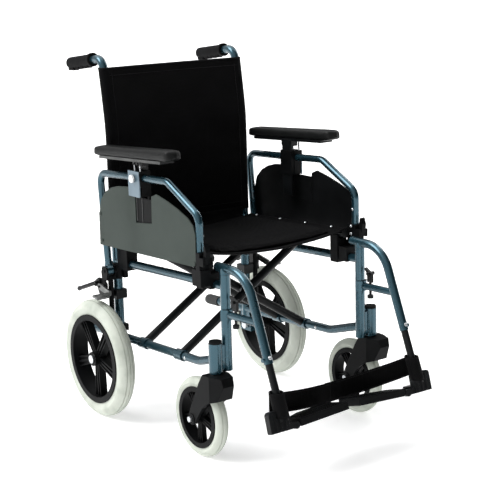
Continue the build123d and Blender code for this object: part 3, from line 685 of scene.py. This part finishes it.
SCREW_YS = (0.191, 0.083, -0.026, -0.134)
SCREW_RISE = 0.0150     # from the seat tube's axis to a screw's head
DOME = [(-0.003, 0.0022), (0.0, 0.0042), (0.0012, 0.0040), (0.0022, 0.0030), (0.0027, 0.0014)]
for side, x, owner, out in (
    ("right", -SIDE_X, "cross_b", Vector((-0.75, 0, 0.66))),
    ("left", SIDE_X, "cross_a", Vector((-0.35, 0, 0.94))),
):
    for k, y in enumerate(SCREW_YS):
        spot = Vector((x, y, seat_tube_z(y))) + out.normalized() * SCREW_RISE
        screw = lathe(f"seat_screw_{side}_{k + 1}", DOME, spot, out, PAINTS["zinc"], sides=20)
        finish_piece(screw, owner)

# ---------------------------------------------------------------- calf strap

strap_low, strap_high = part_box("calf_strap")
STRAP_X = strap_high[0]
STRAP_END_Y = -0.4185                           # at the leg tube
STRAP_MIDDLE_Y = strap_high[1] - 0.0017
STRAP_FOOT_Z, STRAP_HEAD_Z = 0.167, 0.217       # lower and upper edge at the leg tube
STRAP_MIDDLE_FOOT_Z, STRAP_MIDDLE_HEAD_Z = strap_low[2] + 0.002, 0.178
STRAP_OVERLAP = 1.035                           # each half runs just past the middle
LEG_LEAN = radians(22)                          # the footrest's leg from the upright
LEG_TOP_Y, LEG_TOP_Z = -0.326, 0.477
LOOP_RX, LOOP_RY, LOOP_SWELL = 0.0150, 0.0155, 1.16
LOOP_SIDES, LOOP_ROWS = 28, 8


def leg_y(z):
    """The leg tube's axis at height z."""
    return LEG_TOP_Y + (z - LEG_TOP_Z) * tan(LEG_LEAN)


def strap_sheet(sign):
    def surface(u, v):
        """Half strap: u runs from the leg tube to the middle, v goes up."""
        x = sign * STRAP_X * (1 - u * STRAP_OVERLAP)
        share = 1 - min(abs(x) / STRAP_X, 1) ** 2
        y = lerp(STRAP_END_Y, STRAP_MIDDLE_Y, share) + sign * 0.0014 * share
        low = lerp(STRAP_FOOT_Z, STRAP_MIDDLE_FOOT_Z, share)
        high = lerp(STRAP_HEAD_Z, STRAP_MIDDLE_HEAD_Z, share)
        ripple = 0.0010 * noise(Vector((x * 20, v * 2, 5.0)))
        return x, y + ripple, lerp(low, high, v)
    return surface


def strap_loop(side, sign):
    """Sewn sleeve that holds the strap's end on the leg tube."""
    verts = []
    for swell in (1, LOOP_SWELL):
        for row in range(LOOP_ROWS):
            z = lerp(STRAP_FOOT_Z - 0.001, STRAP_HEAD_Z + 0.002, row / (LOOP_ROWS - 1))
            for k in range(LOOP_SIDES):
                a = tau * k / LOOP_SIDES
                x = sign * SIDE_X + LOOP_RX * swell * cos(a)
                verts.append((x, leg_y(z) + LOOP_RY * swell * sin(a), z))
    inner = grid_faces(LOOP_ROWS, LOOP_SIDES, close_columns=True)
    outer = LOOP_ROWS * LOOP_SIDES
    faces = inner + flipped(inner, outer)
    last = outer - LOOP_SIDES
    for k in range(LOOP_SIDES):
        after = (k + 1) % LOOP_SIDES
        faces.append((k, after, outer + after, outer + k))
        faces.append((last + after, last + k, outer + last + k, outer + last + after))
    return new_mesh(f"calf_strap_loop_{side}", verts, faces, PAINTS["webbing"])


for side, sign in SIDES:
    surface = strap_sheet(sign)
    leg_body = f"extension_{side}"
    half = slab(f"calf_strap_half_{side}", surface, 0.0024, 60, 12, PAINTS["webbing"])
    sheet_size(surface)
    ride_and_narrow(half, leg_body, ["calf_strap"])
    for tag, v in (("low", 0.08), ("top", 0.92)):
        seam = stitches(f"calf_stitch_{tag}_{side}", surface, (0.03, v), (0.97, v), 44, STITCH,
                        lift=-sign * 0.0015)
        ride_and_narrow(seam, leg_body)
    finish_piece(strap_loop(side, sign), leg_body)

# ---------------------------------------------------------------- armrest pads


POST_Y = 0.076              # the pad post's axis
ARM_PAD_TILT = radians(3)
ARM_PAD_UNDER_Z = 0.7098    # underside at the post
ARM_PAD_SKIN = 0.001        # left between the skin and the CAD pad's box
ARM_PAD_RING, ARM_PAD_ROWS = 28, 40


def rounded_end(distance, reach, least):
    """Share of the full width at a distance from a rounded end: least at the tip, 1 from reach on."""
    return sqrt(1 - (1 - min(distance / reach, 1)) ** 2) * (1 - least) + least


def signed_power(value, power):
    """The size of value raised to a power, with value's sign."""
    return abs(value) ** power * (1 if value > 0 else -1)


def arm_pad(side):
    """Long foam pad: flat top, rounded shoulders, raised nose and a rounded tail."""
    low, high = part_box(f"armrest_pad_{side}")
    mid_x, half = (low[0] + high[0]) / 2, (high[0] - low[0]) / 2 - ARM_PAD_SKIN
    verts = []
    for row in range(ARM_PAD_ROWS + 1):
        t = row / ARM_PAD_ROWS
        y = lerp(low[1] + ARM_PAD_SKIN, high[1] - ARM_PAD_SKIN, t)
        ends = min(rounded_end(t, 0.055, 0.14), rounded_end(1 - t, 0.04, 0.20))
        nose = 0.0035 * max(0.0, 1 - t / 0.10) ** 2
        under = ARM_PAD_UNDER_Z - (y - POST_Y) * tan(ARM_PAD_TILT)
        bottom = under + nose
        top = under + lerp(0.0250, 0.0222, t) + nose * 0.6
        height = (top - bottom) * lerp(0.62, 1.0, ends) / 2
        lip = 0.012 * max(0.0, 1 - t / 0.07)
        centre = lerp(bottom + height, top - height, max(0.0, 1 - t / 0.10) * 0.5)
        for k in range(ARM_PAD_RING):
            c, s = cos(tau * k / ARM_PAD_RING), sin(tau * k / ARM_PAD_RING)
            x = mid_x + half * ends * signed_power(c, 0.42 if s > 0 else 0.25)
            z = centre + height * signed_power(s, 0.55 if s > 0 else 0.3)
            verts.append((x, y + lip * (s + 1) / 2, z))
    faces = capped_faces(ARM_PAD_ROWS + 1, ARM_PAD_RING)
    obj = new_mesh(f"arm_pad_skin_{side}", verts, faces, PAINTS["vinyl"])
    inflate(obj, 0.004, 3.0, 0.0015)
    subdivide(obj)
    paint(obj, PAINTS["vinyl"])
    finish_piece(obj, f"arm_pad_{side}", [f"armrest_pad_{side}"])


for side, _ in SIDES:
    arm_pad(side)

# ---------------------------------------------------------------- small visible hardware, painted highlight strips and painted shade sheets


def bar(name, low, high, material):
    """Plain block between two corners."""
    verts = [(x, y, z) for x in (low[0], high[0]) for y in (low[1], high[1]) for z in (low[2], high[2])]
    faces = [(0, 1, 3, 2), (4, 6, 7, 5), (0, 4, 5, 1), (2, 3, 7, 6), (0, 2, 6, 4), (1, 5, 7, 3)]
    return new_mesh(name, verts, faces, material, smooth=False)


def outboard(side_sign, near, far):
    """X range from near to far, on either side of the chair."""
    return sorted((side_sign * near, side_sign * far))


INLAY = [(-0.001, 0.0048), (0.0004, 0.0048), (0.0008, 0.0040)]
RING = [(-0.002, 0.0046), (0.0008, 0.0046), (0.0016, 0.0038), (0.0016, 0.0024), (0.0008, 0.0020)]
NOTCH_FRONT_Y, NOTCH_REAR_Y = 0.000, 0.083      # the notch in the side panel round the height clamp
# Painted highlights: thin light grey strips in the notch stand for the highlights on the pad post's edges.
HIGHLIGHT_STRIP_YS, HIGHLIGHT_STRIP_WIDTH = (0.048, 0.0735), 0.0022
# Painted highlights: light zinc rods between the clamp and the pad stand for the highlights on the pad post's
# edges.
HIGHLIGHT_ROD_X, HIGHLIGHT_ROD_R = 0.2505, 0.0022
HIGHLIGHT_ROD_YS = (POST_Y - 0.022, POST_Y + 0.004)
HANGER_RING_Z, HANGER_RING_RISE = 0.292, 0.0106
RAIL_SCREW_Y, SOCKET_Y = -0.069, -0.186
for side, sign in SIDES:
    button_low, button_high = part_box(f"height_button_{side}")
    face_x = button_high[0] if sign > 0 else button_low[0]
    centre = Vector((face_x, (button_low[1] + button_high[1]) / 2, (button_low[2] + button_high[2]) / 2))
    inlay = lathe(f"button_inlay_{side}", INLAY, centre, (sign, 0, 0), WHITE, sides=28)
    finish_piece(inlay, f"height_button_{side}")

    # Painted shade: a thin black sheet just inside the panel's notch, standing for the dark seen through the
    # notch.
    x0, x1 = outboard(sign, PANEL_X - 0.0012, PANEL_X - 0.0001)
    shade_sheet = bar(f"notch_shade_sheet_{side}", (x0, NOTCH_FRONT_Y, 0.540), (x1, NOTCH_REAR_Y, 0.6115),
                PAINTS["black_plastic"])
    finish_piece(shade_sheet, f"armrest_{side}")
    x0, x1 = outboard(sign, PANEL_X - 0.0002, PANEL_X + 0.0010)
    # Painted highlights on the pad post's edges, in the notch.
    for k, y in enumerate(HIGHLIGHT_STRIP_YS):
        lip = bar(f"notch_highlight_strip_{side}_{k + 1}", (x0, y, 0.549), (x1, y + HIGHLIGHT_STRIP_WIDTH, 0.6110),
                  PAINTS["grey_plastic"])
        finish_piece(lip, f"armrest_{side}")
    # Painted highlights on the pad post's edges, between the clamp and the pad.
    for k, y in enumerate(HIGHLIGHT_ROD_YS):
        ends = [(sign * HIGHLIGHT_ROD_X, y, z) for z in (0.640, 0.702)]
        highlight_rod = tube_along(f"pad_post_highlight_{side}_{k + 1}", ends, HIGHLIGHT_ROD_R, PAINTS["zinc"])
        finish_piece(highlight_rod, f"arm_pad_{side}")

    front = Vector((0, -cos(LEG_LEAN), sin(LEG_LEAN)))
    spot = Vector((sign * SIDE_X, leg_y(HANGER_RING_Z), HANGER_RING_Z)) + front * HANGER_RING_RISE
    ring = lathe(f"hanger_ring_{side}", RING, spot, front, PAINTS["zinc"], sides=28)
    finish_piece(ring, f"hanger_{side}")

    body = f"{side}_side"
    rail_z = LOW_RAIL_Z - rail_drop(RAIL_SCREW_Y)
    for tag, x, y, z, out, owner in (
        ("rail_out", 0.2205, RAIL_SCREW_Y, rail_z, sign, body),
        ("rail_in", 0.1995, RAIL_SCREW_Y, rail_z, -sign, body),
        ("socket_low", 0.2278, SOCKET_Y, 0.487, -sign, body),
        ("socket_high", 0.2278, SOCKET_Y, 0.507, -sign, body),
        ("leg", 0.2330, SOCKET_Y, 0.550, -sign, f"armrest_{side}"),
    ):
        screw = lathe(f"screw_{tag}_{side}", DOME, (sign * x, y, z), (out, 0, 0), PAINTS["zinc"], sides=20)
        finish_piece(screw, owner)

# ---------------------------------------------------------------- stage, lights, camera

FLOOR_SIZE, BACKDROP_RADIUS = 120, 30
FLOOR_Z = -0.0002       # just under the tyres

bpy.ops.mesh.primitive_plane_add(size=FLOOR_SIZE, location=(0, 0, FLOOR_Z))
floor = bpy.context.object
floor.name = "studio_floor"
paint(floor, studio_white("floor", glow=0.42, roughness=0.9, mottle=1.2, light=0.915))

# A white dome that only the camera sees: it neither lights the chair nor shades it.
bpy.ops.mesh.primitive_uv_sphere_add(segments=64, ring_count=32, radius=BACKDROP_RADIUS, location=(0, 0, 0))
backdrop = bpy.context.object
backdrop.name = "studio_backdrop"
paint(backdrop, studio_white("backdrop_white", glow=1.1, roughness=1.0, mottle=0.2, light=0.92))
for ray in ("diffuse", "glossy", "transmission", "shadow"):
    setattr(backdrop, f"visible_{ray}", False)

BRIGHT_WAY = (-0.80, 0.22, 0.56)                # towards the brightest part of the room
DIM, BRIGHT = (-0.15, 0.03), (0.75, 0.75)       # dot product with that way, and the light's strength there


def studio_world():
    """White surroundings, bright on the chair's right and above, and dim on the other side."""
    world = bpy.data.worlds.new("studio")
    world.use_nodes = True
    sky = world.node_tree
    background = sky.nodes["Background"]
    background.inputs["Color"].default_value = PURE_WHITE
    direction = sky.nodes.new("ShaderNodeTexCoord")
    toward = sky.nodes.new("ShaderNodeVectorMath")
    toward.operation = "DOT_PRODUCT"
    toward.inputs[1].default_value = BRIGHT_WAY
    falloff = sky.nodes.new("ShaderNodeMapRange")
    for end, (product, strength) in (("Min", DIM), ("Max", BRIGHT)):
        falloff.inputs[f"From {end}"].default_value = product
        falloff.inputs[f"To {end}"].default_value = strength
    sky.links.new(direction.outputs["Generated"], toward.inputs[0])
    sky.links.new(toward.outputs["Value"], falloff.inputs["Value"])
    sky.links.new(falloff.outputs["Result"], background.inputs["Strength"])
    return world


bpy.context.scene.world = studio_world()


def add_light(name, kind, energy, toward):
    """A light that shines from the direction toward."""
    light = bpy.data.lights.new(name, kind)
    light.energy = energy
    obj = bpy.data.objects.new(name, light)
    bpy.context.collection.objects.link(obj)
    obj.rotation_euler = toward.to_track_quat("Z", "Y").to_euler()
    return obj


def heading(azimuth, elevation):
    """Unit vector. Azimuth is in radians from the chair's front, and -90 degrees is at its right."""
    level = cos(elevation)
    return Vector((sin(azimuth) * level, -cos(azimuth) * level, sin(elevation)))


def sun(name, strength, spread, azimuth, elevation):
    """Distant soft light that comes from an azimuth and an elevation, in degrees."""
    obj = add_light(name, "SUN", strength, heading(radians(azimuth), radians(elevation)))
    obj.data.angle = radians(spread)


def softbox(name, power, size, place, aim):
    """Rectangular lamp at a place, turned to its aim and hidden from the camera."""
    obj = add_light(name, "AREA", power, Vector(place) - Vector(aim))
    obj.data.shape = "RECTANGLE"
    obj.data.size, obj.data.size_y = size
    obj.location = place
    obj.visible_camera = False


sun("key", strength=2.6, spread=36, azimuth=-118, elevation=47)
sun("overhead", strength=1.3, spread=70, azimuth=160, elevation=66)
softbox("strip", power=12, size=(0.35, 1.6), place=(1.9, 0.4, 1.7), aim=(0, 0, 0.5))

AZIMUTH, ELEVATION, ROLL = radians(-36.013), radians(12.629), radians(-1.497)
TARGET, DISTANCE = Vector((0.05063, 0.01482, 0.43824)), 3.4699
CLIP_END = 300

camera_data = bpy.data.cameras.new("camera")
camera = bpy.data.objects.new("camera", camera_data)
bpy.context.collection.objects.link(camera)
camera_data.lens, camera_data.sensor_width = 95.13, 36
camera_data.clip_end = CLIP_END
back_axis = heading(AZIMUTH, ELEVATION)
level_axis = Vector((0, 0, 1)).cross(back_axis).normalized()
upward = back_axis.cross(level_axis)
right_axis = cos(ROLL) * level_axis + sin(ROLL) * upward
up_axis = cos(ROLL) * upward - sin(ROLL) * level_axis
turned = Matrix((right_axis, up_axis, back_axis)).transposed().to_4x4()
camera.matrix_world = Matrix.Translation(TARGET + back_axis * DISTANCE) @ turned
bpy.context.scene.camera = camera
bpy.context.scene.view_settings.view_transform = "Standard"
bpy.context.scene.view_settings.look = "None"
